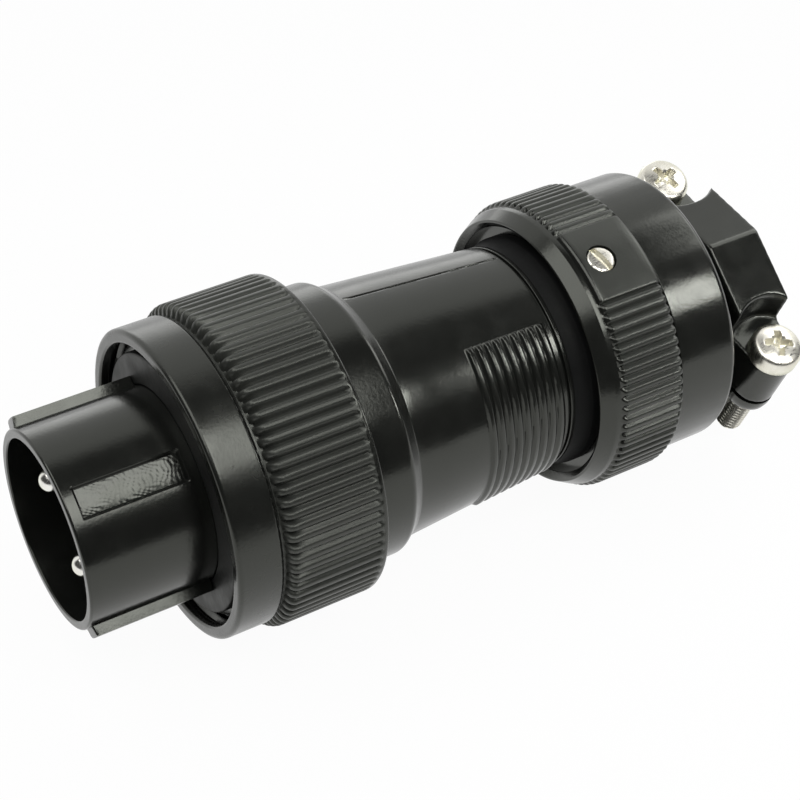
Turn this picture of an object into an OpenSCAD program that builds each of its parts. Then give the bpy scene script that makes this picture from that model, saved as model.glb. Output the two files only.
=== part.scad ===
// Cable plug of a waterproof circular connector. The axis runs along X, the mouth of the shroud
// is at the origin and the cable leaves toward +X. Angles around the axis are measured from +Y
// toward +Z. All sizes are in millimetres.

// Sub-part to draw, or all of them

/* [Shroud] */
// Wall of the shroud
shroud_wall = 0.98; // [0.8:0.02:1.2]
// Length of the shroud in front of the flange
shroud_len = 14.2; // [13.6:0.1:15]
// Angle of the first key around the axis
key_angle = 44; // [30:1:60]
// Width of the two keys
key_w = 2.2; // [1.4:0.1:3]
// Height of the two keys above the shroud
key_h = 1.05; // [0.5:0.05:1.2]
// Width of the side recess
recess_w = 3.1; // [2:0.1:4.4]
// Depth of the side recess
recess_depth = 0.55; // [0.2:0.05:0.6]

/* [Contacts] */
// Radius of a contact pin
pin_r = 1.2; // [0.9:0.05:1.5]
// Angle of the pin pair around the axis
pin_angle = 43; // [30:1:60]
// Pin tip behind the shroud rim
pin_tip_x = 1.1; // [0.4:0.1:4]
// Insulator in front of the flange
insulator_len = 2.6; // [2:0.1:4]

/* [Coupling nut] */
// Radius over the knurl, the other radii are steps from it
nut_r = 17; // [16:0.05:18]
// Length of the nut
nut_len = 15.75; // [15:0.05:17]
// Front face of the drawn-back nut ahead of the flange
nut_lead = 1.7; // [1.4:0.1:2]
// Step from the knurl down to the smooth front collar
nut_collar_step = 0.83; // [0.6:0.01:1]
// Length of the smooth front collar
nut_collar_len = 5.2; // [3:0.1:7]
// Wall of the front collar
nut_wall = 1.41; // [1.2:0.01:1.7]
// Number of knurl flutes
nut_flutes = 84; // [60:1:96]
// Radius of a flute
flute_r = 0.36; // [0.25:0.01:0.4]
// Pitch of the nut's thread
nut_pitch = 1.5; // [1.2:0.1:1.8]

/* [Barrel] */
// Collar behind the nut, below the knurl
collar_drop = 2.3; // [2:0.05:3]
// Length of the collar
collar_len = 3.8; // [3:0.1:4.4]
// Step from the collar down to the taper
taper_step = 1.04; // [0.9:0.02:1.4]
// Fall of the radius along the taper
taper_drop = 1.45; // [1:0.05:1.8]
// Length of the taper
taper_len = 19.25; // [18:0.05:22]
// Ridges of the interrupted thread
thread_ridges = 9; // [5:1:10]
// Pitch of the interrupted thread
thread_pitch = 1.06; // [0.9:0.02:1.2]
// Height of a thread ridge
thread_h = 0.5; // [0.3:0.02:0.6]
// First and last ridge angle on the side toward the eye
thread_start_angle = 127; // [115:1:140]
// Sweep of each ridge
thread_sweep = 96; // [60:1:110]
// Angle from the near group of ridges to the far one
thread_apart = 164; // [150:1:180]

/* [Rear nut] */
// Rubber ring that shows between barrel and rear nut
seal_len = 1.7; // [1.4:0.1:2.2]
// Length of the rear nut
rear_len = 9.2; // [9:0.1:10]
// Wall of the rear nut outside the rubber ring
rear_wall = 2.2; // [1.9:0.02:2.6]
// Number of rear flutes
rear_flutes = 88; // [60:1:96]
// Radius of the lock screw
lock_r = 1.5; // [1.2:0.05:1.7]
// Lock screw angle around the axis
lock_angle = 114.7; // [100:0.1:125]
// Half angle of the bare land around the lock screw
land_half_angle = 15; // [11:0.5:22]

/* [End cap and clamp] */
// Step from the rear knurl down to the end cap
cap_step = 0.85; // [0.6:0.05:1.2]
// Length of the end cap
cap_len = 7.5; // [7:0.1:8.4]
// Wall of the rubber gland around the cable
gland_wall = 4.15; // [3.8:0.05:5]
// Middle of the clamp behind the end cap
clamp_reach = 7.6; // [7.2:0.1:8.4]
// Tilt of the clamp around the axis
clamp_angle = 23; // [0:1:40]
// Width of the clamp along the axis
clamp_w = 6.7; // [6.2:0.1:7.2]
// Wall of the saddle's ridge above the cable
ridge_wall = 2.7; // [2.2:0.1:3.6]
// Height of the screw seats above the axis
seat_v = 2.5; // [2:0.1:3]
// Radius of a clamp screw shank
screw_r = 1.5; // [1.2:0.05:1.6]
// Radius of a pan head
head_r = 2.85; // [2.3:0.05:3]

/* [Hidden] */
// Fit of fixed pieces, of running pieces and of a cable before it is clamped
fit = 0.05;
run = 0.1;
cable_room = 0.3;
// Gaps between the halves of the clamp and between turned pieces
split_gap = 0.3;
step = 0.3;
// Radii, each a step from the one outside it
nut_collar_r = nut_r - nut_collar_step;
nut_mouth_r = nut_collar_r - nut_wall;
flange_gap = 0.56;
flange_r = nut_mouth_r - flange_gap;
flange_step = 2.3;
neck_r = flange_r - flange_step;
shroud_step = 1.62;
shroud_r = neck_r - shroud_step;
shroud_in = shroud_r - shroud_wall;
spigot_step = 0.75;
spigot_r = neck_r - spigot_step;
spigot_wall = 1.25;
insert_r = spigot_r - spigot_wall;
ring_wall = 2.5;
ring_in = insert_r - ring_wall;
pin_offset = 0.4444 * insert_r;
collar_r = nut_r - collar_drop;
barrel_front_r = collar_r - taper_step;
barrel_rear_r = barrel_front_r - taper_drop;
bore_step = 0.75;
bore_r = spigot_r - bore_step;
seal_wall = 0.61;
rear_spigot_r = barrel_rear_r - seal_wall;
rear_spigot_wall = 1.85;
gland_r = rear_spigot_r - rear_spigot_wall;
gland_lip = 1.15;
seal_room = 1.54;
rear_mouth_r = barrel_rear_r + seal_room;
rear_r = rear_mouth_r + rear_wall;
cap_r = rear_r - cap_step;
cap_spigot_wall = 1.35;
cap_spigot_r = rear_spigot_r + cap_spigot_wall;
cap_cup_wall = 3;
cable_r = gland_r - gland_wall;
clamp_r = cable_r + cable_room;
cap_hole_r = clamp_r + cable_room;
// Places along the axis, each a length behind the one before it
flange_x = shroud_len;
flange_t = 2;
gasket_t = 1;
insulator_x = flange_x - insulator_len;
insert_lead = 0.4;
insert_x = flange_x + insert_lead;
insert_len = 6.4;
plate_x = insert_x + insert_len;
plate_t = 2;
ring_x = plate_x + plate_t;
ring_t = 2.5;
nut_x = flange_x - nut_lead;
nut_end_x = nut_x + nut_len;
nut_rim = 0.45;
shoulder_t = 4.35;
nut_shoulder_x = nut_end_x - shoulder_t;
washer_t = 0.8;
barrel_x = nut_end_x + step;
spigot_len = 6.5;
groove_lead = 0.7;
groove_w = 1.2;
groove_depth = 0.85;
o_ring_r = 0.44;
fillet_len = 1.6;
taper_x = barrel_x + collar_len + fillet_len;
barrel_end_x = taper_x + taper_len;
thread_end = 1.75;
thread_x = barrel_end_x - thread_end - (thread_ridges - 0.5) * thread_pitch;
rear_x = barrel_end_x + seal_len;
seal_depth = 1.3;
seal_end_x = rear_x + seal_depth;
shoulder_len = 1.8;
rear_lip = 0.3;
rear_knurl_x = rear_x + shoulder_len;
lock_x = rear_x + 4.4;
rear_spigot_end = rear_x + 6.3;
rear_end_x = rear_x + rear_len;
gland_x = rear_x + 0.1;
gland_end_x = rear_end_x + 0.4;
gland_washer_t = 1;
cap_x = rear_end_x + step;
cap_end_x = cap_x + cap_len;
cap_cup = 3;
cap_floor_x = cap_end_x - cap_cup;
clamp_x = cap_end_x + clamp_reach;
// Clamp across the cable: distances along the bar and heights above the axis
screw_reach = 6.1;
screw_spacing = 2 * (cable_r + screw_reach);
ridge_v = clamp_r + ridge_wall;
roof_fall = 5.9;
split_drop = 2;
split_v = cable_r - split_drop;
ear_r = 2.6;
ear_reach = 3.7;
bar_half = screw_spacing / 2 - ear_reach;
spot_r = 5;
ear_v = split_v + split_gap;
ear_t = 2.7;
ear_round = 2;
web_wall = 2.4;
web_foot = cable_r - 0.4;
head_h = 2.4;
screw_len = 14.5;
screw_tip_v = seat_v - screw_len;
clear_r = screw_r + 0.2;
$fn = 96;

// Radius of the tapered barrel at a place along the axis
function taper_r(x) = barrel_front_r
    + (barrel_rear_r - barrel_front_r) * (x - taper_x) / (barrel_end_x - taper_x);

// Points of a rounded corner of a turned profile, given as radius and place along the axis
function round_points(r, x, size, from, to, n = 5) =
    [for (i = [0 : n]) [r + size * cos(from + (to - from) * i / n),
                        x + size * sin(from + (to - from) * i / n)]];

// Zigzag of a thread along the axis, between an inner and an outer radius
function thread_points(r0, r1, x0, pitch, count) =
    [for (i = [0 : count - 1], k = [0 : 3])
        [k == 1 || k == 2 ? r1 : r0, x0 + pitch * (i + [0.06, 0.4, 0.6, 0.94][k])]];

// Turns the local Z axis onto the connector's axis, so local polar angles go around it
module axial() {
    rotate([0, 90, 0]) rotate([0, 0, 90]) children();
}

// Solid turned around the connector's axis from [radius, place] points
module turned(points) {
    axial() rotate_extrude() polygon(points);
}

// Flutes around the axis, left out within a half angle of one place
module flutes(count, r, x0, x1, skip_angle, skip_half) {
    axial()
        for (i = [0 : count - 1]) {
            a = 360 * i / count;
            off = abs((a - skip_angle + 540) % 360 - 180);
            if (off >= skip_half)
                rotate([0, 0, a]) translate([r, 0, x0])
                    cylinder(r = flute_r, h = x1 - x0, $fn = 24);
        }
}

// Frame of the cable clamp: local Y along the bar, local Z toward the screw heads
module clamp_frame() {
    translate([clamp_x, 0, 0]) rotate([clamp_angle, 0, 0]) children();
}

// Plan of the clamp bar, drawn in toward its two round ears
module ear_plan(height) {
    side = [[clamp_w / 2, -bar_half], [clamp_w / 2, bar_half], [ear_r, screw_spacing / 2]];
    linear_extrude(height) polygon(concat([[ear_r, -screw_spacing / 2]], side,
        [for (i = [2 : -1 : 0]) [-side[i][0], side[i][1]]], [[-ear_r, -screw_spacing / 2]]));
    for (s = [-1, 1])
        translate([0, s * screw_spacing / 2, 0]) cylinder(r = ear_r, h = height);
}

// Lower bar of the clamp, its two round ears and its edges rounded below
module ear_foot() {
    edge = concat(round_points(ear_r - ear_round, ear_round, ear_round, -90, 0, 4),
                  [[ear_r, ear_t]]);
    translate([0, screw_spacing / 2, 0]) rotate([90, 0, 0]) linear_extrude(screw_spacing)
        polygon(concat(edge, [for (i = [len(edge) - 1 : -1 : 0]) [-edge[i][0], edge[i][1]]]));
    for (s = [-1, 1])
        translate([0, s * screw_spacing / 2, 0])
            rotate_extrude() polygon(concat([[0, ear_t], [0, 0]], edge));
}

// Plug shell: shroud with keys and recess, flange, neck and rear spigot
module plug_shell() {
    color("#1b1c1e")
    difference() {
        union() {
            turned([[shroud_in, 0.15], [shroud_in + 0.15, 0], [shroud_r - 0.25, 0],
                    [shroud_r, 0.25], [shroud_r, flange_x], [flange_r - 0.2, flange_x],
                    [flange_r, flange_x + 0.2], [flange_r, flange_x + flange_t],
                    [neck_r, flange_x + flange_t], [neck_r, barrel_x], [spigot_r, barrel_x],
                    [spigot_r, barrel_x + groove_lead],
                    [spigot_r - groove_depth, barrel_x + groove_lead],
                    [spigot_r - groove_depth, barrel_x + groove_lead + groove_w],
                    [spigot_r, barrel_x + groove_lead + groove_w],
                    [spigot_r, barrel_x + spigot_len - 0.3],
                    [spigot_r - 0.3, barrel_x + spigot_len],
                    [insert_r + fit, barrel_x + spigot_len], [insert_r + fit, insert_x],
                    [shroud_in, insert_x]]);
            for (a = [key_angle, key_angle + 180])
                axial() rotate([0, 0, a])
                    translate([shroud_r - shroud_wall / 2, -key_w / 2, 0.6])
                        cube([shroud_wall / 2 + key_h, key_w, flange_x - 0.6]);
        }
        axial() rotate([0, 0, key_angle + 86])
            translate([shroud_r - recess_depth, -recess_w / 2, 1.4])
                cube([2, recess_w, flange_x - gasket_t - 1.8]);
    }
}

// Insulating block that carries the contacts
module pin_insulator() {
    color("#26282b")
    difference() {
        turned([[0, insulator_x], [shroud_in - fit - 0.3, insulator_x],
                [shroud_in - fit, insulator_x + 0.3], [shroud_in - fit, insert_x],
                [insert_r, insert_x], [insert_r, plate_x], [0, plate_x]]);
        for (a = [pin_angle, pin_angle + 180])
            axial() rotate([0, 0, a]) translate([pin_offset, 0, 0]) {
                translate([0, 0, insulator_x - 1]) cylinder(r = pin_r + fit, h = 20, $fn = 48);
                translate([0, 0, plate_x - 1.6])
                    cylinder(r = pin_r + 0.8 + fit, h = 5, $fn = 48);
            }
    }
}

// Plate that keeps the contact collars in the insulator
module insert_back_plate() {
    color("#303236")
    difference() {
        turned([[0, plate_x], [insert_r, plate_x], [insert_r, ring_x], [0, ring_x]]);
        for (a = [pin_angle, pin_angle + 180])
            axial() rotate([0, 0, a]) translate([pin_offset, 0, plate_x - 1])
                cylinder(r = pin_r + 0.4 + fit, h = 6, $fn = 48);
    }
}

// Threaded ring behind the insulator, with two spanner notches
module insert_ring() {
    color("#9a9c9e")
    difference() {
        turned([[ring_in, ring_x], [insert_r, ring_x], [insert_r, ring_x + ring_t - 0.3],
                [insert_r - 0.3, ring_x + ring_t], [ring_in, ring_x + ring_t]]);
        for (a = [pin_angle + 90, pin_angle + 270])
            axial() rotate([0, 0, a]) translate([ring_in - 0.4, -0.75, ring_x + ring_t / 2])
                cube([ring_wall + 1, 1.5, ring_t]);
    }
}

// One contact: domed pin, collar in the insulator, solder cup behind
module contact(a) {
    color("#d9d7d0")
    difference() {
        axial() rotate([0, 0, a]) translate([pin_offset, 0, 0])
            rotate_extrude($fn = 48)
                polygon(concat([[0, plate_x + 6.5], [0, pin_tip_x]],
                    [for (i = [1 : 6]) [pin_r * sin(15 * i), pin_tip_x + pin_r * (1 - cos(15 * i))]],
                    [[pin_r, plate_x - 1.4], [pin_r + 0.8, plate_x - 1.4],
                     [pin_r + 0.8, plate_x], [pin_r + 0.4, plate_x],
                     [pin_r + 0.4, plate_x + 6.5]]));
        axial() rotate([0, 0, a]) translate([pin_offset, 0, plate_x + 3])
            cylinder(r = pin_r - 0.1, h = 6, $fn = 48);
        axial() rotate([0, 0, a]) translate([pin_offset, -3, plate_x + 3.6])
            cube([6, 6, 6]);
    }
}

module contact_pin_1() { contact(pin_angle); }

module contact_pin_2() { contact(pin_angle + 180); }

// Flat rubber ring on the front face of the flange, notched for the two keys
module face_gasket() {
    color("#2a2d33")
    difference() {
        turned([[shroud_r + fit, flange_x - gasket_t], [flange_r - 0.75, flange_x - gasket_t],
                [flange_r - 0.6, flange_x - gasket_t + 0.15], [flange_r - 0.6, flange_x],
                [shroud_r + fit, flange_x]]);
        for (a = [key_angle, key_angle + 180])
            axial() rotate([0, 0, a])
                translate([shroud_in, -key_w / 2 - run, flange_x - gasket_t - 1])
                    cube([shroud_wall + key_h + run, key_w + 2 * run, gasket_t + 2]);
    }
}

// Coupling nut: smooth collar, fluted band, threaded mouth and inner shoulder
module coupling_nut() {
    color("#1b1c1e")
    difference() {
        turned(concat([[nut_mouth_r + 0.2, nut_x]],
            round_points(nut_collar_r - 0.4, nut_x + 0.4, 0.4, -90, 0, 3),
            [[nut_collar_r, nut_x + nut_collar_len]],
            round_points(nut_r - 0.5, nut_x + nut_collar_len + 0.5, 0.5, -60, 0, 3),
            [[nut_r, nut_end_x - 0.3], [nut_r - 0.3, nut_end_x], [neck_r + run, nut_end_x],
             [neck_r + run, nut_shoulder_x], [nut_mouth_r, nut_shoulder_x]],
            [for (i = [1 : 4 * 5]) thread_points(nut_mouth_r, nut_mouth_r + 0.5,
                nut_x + 1.2, nut_pitch, 5)[4 * 5 - i]],
            [[nut_mouth_r, nut_x + 0.2]]));
        flutes(nut_flutes, nut_r, nut_x + nut_collar_len - 0.1, nut_end_x - nut_rim, 0, 0);
    }
}

// Washer between the nut's inner shoulder and the flange, it travels with the nut
module thrust_washer() {
    color("#a9abad")
    turned([[neck_r + run, nut_shoulder_x - washer_t], [nut_mouth_r - 0.2, nut_shoulder_x - washer_t],
            [nut_mouth_r - 0.2, nut_shoulder_x], [neck_r + run, nut_shoulder_x]]);
}

// Barrel: collar, taper, interrupted thread and rear spigot
module barrel() {
    color("#1b1c1e")
    union() {
        turned(concat([[spigot_r + fit, barrel_x], [collar_r - 0.3, barrel_x],
                       [collar_r, barrel_x + 0.3]],
            round_points(collar_r - 0.8, barrel_x + collar_len, 0.8, 0, 60, 4),
            [[taper_r(taper_x), taper_x],
             [taper_r(barrel_end_x - 0.95), barrel_end_x - 0.95],
             [taper_r(barrel_end_x - 0.85) - 0.3, barrel_end_x - 0.85],
             [taper_r(barrel_end_x - 0.6) - 0.3, barrel_end_x - 0.6],
             [taper_r(barrel_end_x - 0.5), barrel_end_x - 0.5],
             [barrel_rear_r, barrel_end_x], [rear_spigot_r, barrel_end_x],
             [rear_spigot_r, rear_spigot_end], [gland_r + fit, rear_spigot_end],
             [gland_r + fit, gland_x], [gland_r - gland_lip, gland_x],
             [gland_r - gland_lip, barrel_end_x - 0.2], [bore_r, barrel_end_x - 2],
             [bore_r, barrel_x + spigot_len + run],
             [spigot_r + fit, barrel_x + spigot_len + run]]));
        for (i = [0 : thread_ridges - 1], side = [0, thread_apart]) {
            x = thread_x + i * thread_pitch;
            foot = 0.49 * thread_pitch;
            crest = 0.28 * thread_pitch;
            axial() rotate([0, 0, thread_start_angle + side])
                rotate_extrude(angle = thread_sweep)
                    polygon([[taper_r(x) - 0.1, x - foot], [taper_r(x) + thread_h, x - crest],
                             [taper_r(x) + thread_h, x + crest], [taper_r(x) - 0.1, x + foot]]);
        }
    }
}

// O-ring in the groove of the shell's rear spigot
module barrel_o_ring() {
    color("#2a2d33")
    axial() translate([0, 0, barrel_x + groove_lead + groove_w / 2])
        rotate_extrude() translate([spigot_r + fit - o_ring_r - 0.01, 0])
            circle(r = o_ring_r, $fn = 32);
}

// Rubber ring squeezed between barrel and rear nut
module rear_seal_ring() {
    color("#2a2d33")
    turned([[rear_spigot_r + fit, barrel_end_x], [barrel_rear_r - 0.1, barrel_end_x],
            [barrel_rear_r + 0.45, rear_x + 0.2], [barrel_rear_r + 0.45, seal_end_x],
            [rear_spigot_r + fit, seal_end_x]]);
}

// Rear nut: sloping front shoulder, fluted band, lock screw hole and rear thread
module rear_nut() {
    color("#1b1c1e")
    difference() {
        turned(concat([[rear_mouth_r, rear_x + 0.35], [rear_r - 1.35, rear_x - rear_lip]],
            round_points(rear_r - 1.2, rear_x - rear_lip + 0.5, 0.5, -90, -20, 4),
            [[rear_r - 0.5, rear_knurl_x - 0.3], [rear_r - 0.3, rear_knurl_x], [rear_r, rear_knurl_x + 0.3],
             [rear_r, rear_end_x - 0.3], [rear_r - 0.3, rear_end_x],
             [cap_spigot_r + fit, rear_end_x], [cap_spigot_r + fit, rear_spigot_end + 0.2],
             [rear_spigot_r + fit, rear_spigot_end + 0.2], [rear_spigot_r + fit, seal_end_x],
             [rear_mouth_r, seal_end_x]]));
        flutes(rear_flutes, rear_r, rear_knurl_x - 0.2, rear_end_x + 1, lock_angle, land_half_angle);
        axial() rotate([0, 0, lock_angle]) translate([0, 0, lock_x]) rotate([0, 90, 0])
            translate([0, 0, rear_spigot_r - 0.5]) cylinder(r = lock_r + fit, h = 8, $fn = 48);
    }
}

// Slotted screw that locks the rear nut on the barrel
module lock_screw() {
    color("#c9c2ad")
    axial() rotate([0, 0, lock_angle]) translate([0, 0, lock_x]) rotate([0, 90, 0])
        difference() {
            rotate_extrude($fn = 48)
                polygon([[0, rear_spigot_r + 0.02], [lock_r - 0.4, rear_spigot_r + 0.02],
                         [lock_r, rear_spigot_r + 0.4], [lock_r, rear_r - 0.35],
                         [lock_r - 0.15, rear_r - 0.2], [0, rear_r - 0.2]]);
            rotate([0, 0, 106]) translate([-3, -0.3, rear_r - 0.9]) cube([6, 0.6, 2]);
        }
}

// Rubber bush around the cable, with a tapered rear end
module cable_gland() {
    color("#2a2d33")
    turned([[cable_r, gland_x], [gland_r, gland_x], [gland_r, rear_spigot_end + 0.4],
            [gland_r - 1.55, gland_end_x], [cable_r, gland_end_x]]);
}

// Slip washer between gland and end cap
module gland_washer() {
    color("#a9abad")
    turned([[clamp_r, gland_end_x], [gland_r - run, gland_end_x],
            [gland_r - run, gland_end_x + gland_washer_t],
            [clamp_r, gland_end_x + gland_washer_t]]);
}

// End cap with the fixed half of the cable clamp
module end_cap() {
    color("#1b1c1e")
    difference() {
        union() {
            turned(concat([[gland_r + fit, rear_spigot_end + 0.6],
                           [cap_spigot_r, rear_spigot_end + 0.6], [cap_spigot_r, cap_x],
                           [cap_r - 0.2, cap_x], [cap_r, cap_x + 0.2]],
                round_points(cap_r - 1.2, cap_end_x - 1.2, 1.2, 10, 80, 4),
                [[cap_r - cap_cup_wall, cap_end_x], [cap_r - cap_cup_wall, cap_floor_x],
                 [cap_hole_r, cap_floor_x], [cap_hole_r, gland_end_x + gland_washer_t],
                 [gland_r + fit, gland_end_x + gland_washer_t]]));
            clamp_frame() {
                translate([0, 0, -ear_v - ear_t]) ear_foot();
                difference() {
                    translate([cap_floor_x - 0.2 - clamp_x, -screw_spacing / 2, -ear_v - ear_t])
                        cube([clamp_x - cap_floor_x + 0.2, screw_spacing, ear_t]);
                    translate([cap_floor_x - 0.3 - clamp_x, 0, 0]) rotate([0, 90, 0])
                        difference() {
                            cylinder(r = 3 * cap_r, h = cap_cup + 0.3);
                            translate([0, 0, -1])
                                cylinder(r = cap_r - cap_cup_wall / 2, h = cap_cup + 3);
                        }
                }
                translate([cap_floor_x - 0.2 - clamp_x, 0, 0]) rotate([90, 0, 90])
                    linear_extrude(clamp_x + clamp_w / 2 - cap_floor_x + 0.2)
                        polygon([[-cable_r - web_wall, -ear_v - 0.1],
                                 [cable_r + web_wall, -ear_v - 0.1],
                                 [cable_r + web_wall, -ear_v - ear_t], [web_foot, -ridge_v],
                                 [-web_foot, -ridge_v], [-cable_r - web_wall, -ear_v - ear_t]]);
            }
        }
        translate([cap_floor_x - 1, 0, 0]) axial()
            cylinder(r = cap_hole_r, h = clamp_x - clamp_w / 2 - cap_floor_x + 1);
        translate([cap_floor_x - 1, 0, 0]) axial() cylinder(r = clamp_r, h = 2 * clamp_x);
        clamp_frame() for (s = [-1, 1])
            translate([0, s * screw_spacing / 2, -ear_v - ear_t - 1])
                cylinder(r = screw_r + fit, h = ear_t + 2, $fn = 48);
    }
}

// Roof-shaped bar that is pulled down onto the cable
module clamp_saddle() {
    color("#1b1c1e")
    clamp_frame()
    difference() {
        intersection() {
            translate([0, 0, -split_v]) ear_plan(ridge_v + split_v);
            translate([-clamp_w / 2, 0, 0]) rotate([90, 0, 90]) linear_extrude(clamp_w)
                polygon([[-20, -split_v], [20, -split_v], [20, ridge_v - roof_fall], [0, ridge_v],
                         [-20, ridge_v - roof_fall]]);
        }
        for (s = [-1, 1])
            translate([0, s * screw_spacing / 2, 0]) {
                translate([0, 0, seat_v]) cylinder(r = spot_r, h = 20);
                translate([0, 0, -split_v - 1]) cylinder(r = clear_r, h = 20, $fn = 48);
            }
        translate([-10, 0, 0]) rotate([0, 90, 0]) cylinder(r = clamp_r, h = 20);
        translate([-10, -clamp_r, -10]) cube([20, 2 * clamp_r, 10]);
    }
}

// One clamp screw with pan head, cross recess and threaded shank
module clamp_screw(s) {
    turns = 12;
    pitch = 0.5;
    color("#cfcbbd")
    clamp_frame() translate([0, s * screw_spacing / 2, 0])
        difference() {
            rotate_extrude($fn = 48)
                polygon(concat([[0, screw_tip_v], [screw_r - 0.5, screw_tip_v]],
                    thread_points(screw_r - 0.3, screw_r, screw_tip_v + 0.3, pitch, turns),
                    [[screw_r, screw_tip_v + 0.6 + pitch * turns], [screw_r, seat_v],
                     [head_r, seat_v], [head_r, seat_v + 1.1]],
                    [for (i = [1 : 5]) [head_r - 0.75 + 0.75 * cos(15 * i),
                                        seat_v + 1.1 + (head_h - 1.3) * sin(15 * i)]],
                    [[0, seat_v + head_h]]));
            for (a = [20, 110])
                rotate([0, 0, a]) translate([-1.5, -0.35, seat_v + head_h - 1.2])
                    cube([3, 0.7, 3]);
        }
}

module clamp_screw_1() { clamp_screw(1); }

module clamp_screw_2() { clamp_screw(-1); }

plug_shell();
pin_insulator();
insert_back_plate();
insert_ring();
contact_pin_1();
contact_pin_2();
face_gasket();
coupling_nut();
thrust_washer();
barrel();
barrel_o_ring();
rear_seal_ring();
rear_nut();
lock_screw();
cable_gland();
gland_washer();
end_cap();
clamp_saddle();
clamp_screw_1();
clamp_screw_2();
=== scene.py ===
"""Looks of a waterproof cable plug, laid out as an add-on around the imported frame.

The settings and Blender's own values are in metres, the shape functions in millimetres. The plug's axis
is X, the mouth of the shroud is at the origin, and angles around the axis are in degrees, measured from
+Y toward +Z.
"""
import math

import bmesh
import bpy
import numpy as np
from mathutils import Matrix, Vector


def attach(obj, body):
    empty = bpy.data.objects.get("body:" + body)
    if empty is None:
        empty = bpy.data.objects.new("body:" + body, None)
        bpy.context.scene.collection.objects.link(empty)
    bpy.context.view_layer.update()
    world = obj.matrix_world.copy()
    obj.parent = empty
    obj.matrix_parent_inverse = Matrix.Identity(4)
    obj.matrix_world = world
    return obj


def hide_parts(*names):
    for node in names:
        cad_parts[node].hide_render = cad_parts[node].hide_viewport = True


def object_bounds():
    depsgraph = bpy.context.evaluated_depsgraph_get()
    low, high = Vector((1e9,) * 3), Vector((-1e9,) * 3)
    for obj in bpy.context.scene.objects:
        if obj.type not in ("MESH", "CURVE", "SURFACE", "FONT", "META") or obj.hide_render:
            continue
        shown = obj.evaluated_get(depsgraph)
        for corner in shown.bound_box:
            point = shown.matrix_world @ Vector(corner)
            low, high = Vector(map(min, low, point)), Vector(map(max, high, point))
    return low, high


bl_info = {
    "name": "Cable plug looks",
    "version": (1, 0, 0),
    "blender": (4, 5, 0),
    "location": "View3D > Sidebar > Cable plug",
    "description": "Dresses the packed cable plug with turned, fluted and threaded surfaces",
    "category": "Object",
}

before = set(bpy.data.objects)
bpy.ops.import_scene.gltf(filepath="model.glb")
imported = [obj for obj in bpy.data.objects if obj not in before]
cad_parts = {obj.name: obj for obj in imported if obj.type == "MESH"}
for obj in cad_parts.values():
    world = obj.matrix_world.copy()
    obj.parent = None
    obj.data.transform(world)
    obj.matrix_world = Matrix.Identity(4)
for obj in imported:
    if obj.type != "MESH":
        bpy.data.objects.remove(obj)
CAD_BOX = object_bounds()
MM = 0.001

CAMERA_PLACE = (-0.044996, -0.141103, 0.131683)
CAMERA_TARGET = (0.0396, 0.0, -0.00032)
CAMERA_LENS = 91.55
CAMERA_SENSOR = 36.0

# Lamps: name, place, target, width, height, power
LAMPS = (
    ("front box", (0.09, -0.2155, 0.276), (0.09, -0.009, 0.011), 0.12, 0.2, 0.42),
    ("right box", (0.122, -0.0755, 0.063), (0.068, -0.0115, 0.01), 0.018, 0.03, 0.024),
    ("clamp box", (0.13, 0.0, 0.06), (0.0795, -0.002, 0.005), 0.05, 0.05, 0.018),
    ("left box", (-0.1, -0.045, 0.35), (0.03, -0.045, 0.0), 0.4, 0.22, 0.7),
)
# Studio walls: where along the wall line each one starts and is full, and its full strength
WALL_LINE = (0.35, 0.94, 0.0)
WALLS = ((0.25, 0.5, 0.9), (0.85, 1.0, 2.2))
ROOM_STRENGTH = 0.06
FLOOR_DROP = 0.0002
FLOOR_REACH = 1.6
FLOOR_NEAR = -0.11
FLOOR_WHITE = 0.96

# A fluted band is this much rougher, and paler by this share of its colour; NO_BAND lies off the plug
BAND_DULL = 0.14
BAND_PALE = 1.8
NO_BAND = 9.0

# Faces that meet at more than this angle keep a sharp edge
SHARP_ANGLE = 38.0

# Places on the plug, in millimetres and degrees
KEY_ANGLES = (44.0, 224.0)
RECESS_ANGLE = 130.0
PIN_ANGLES = (43.0, 223.0)
PIN_OFFSET = 4.4
SEAM_ANGLES = (83.0, 263.0)
THREAD_ANGLES = (175.0, 339.0)
THREAD_HALF_SWEEP = 48.0
TAPER_X = (33.95, 53.2)
TAPER_R = (13.66, 12.21)
LOCK_X = 59.3
LOCK_ANGLE = 114.7
CLAMP_X = 79.5
CLAMP_TILT = 23.0
CLAMP_REACH = 11.7


class PlugSizes(bpy.types.PropertyGroup):
    """Sizes of the plug's visible surfaces."""

    shroud_r: bpy.props.FloatProperty(
        name="Shroud radius", description="Outside radius of the front shroud",
        subtype="DISTANCE", precision=5, default=0.01028, min=0.0)
    nut_r: bpy.props.FloatProperty(
        name="Coupling nut radius", description="Radius over the coupling nut's flutes",
        subtype="DISTANCE", precision=5, default=0.017, min=0.0)
    nut_flutes: bpy.props.IntProperty(
        name="Coupling nut flutes", description="Flutes around the coupling nut", default=84, min=3)
    rear_r: bpy.props.FloatProperty(
        name="Rear nut radius", description="Radius over the rear nut's flutes",
        subtype="DISTANCE", precision=5, default=0.01595, min=0.0)
    rear_flutes: bpy.props.IntProperty(
        name="Rear nut flutes", description="Flutes around the rear nut", default=88, min=3)
    flute_depth: bpy.props.FloatProperty(
        name="Flute depth", description="Depth of a flute below its ridges",
        subtype="DISTANCE", precision=5, default=0.0004, min=0.0)
    thread_pitch: bpy.props.FloatProperty(
        name="Barrel thread pitch", description="Pitch of the interrupted thread",
        subtype="DISTANCE", precision=5, default=0.00106, min=0.0001)
    thread_height: bpy.props.FloatProperty(
        name="Barrel thread height", description="Height of the interrupted thread",
        subtype="DISTANCE", precision=5, default=0.00032, min=0.0)


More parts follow.
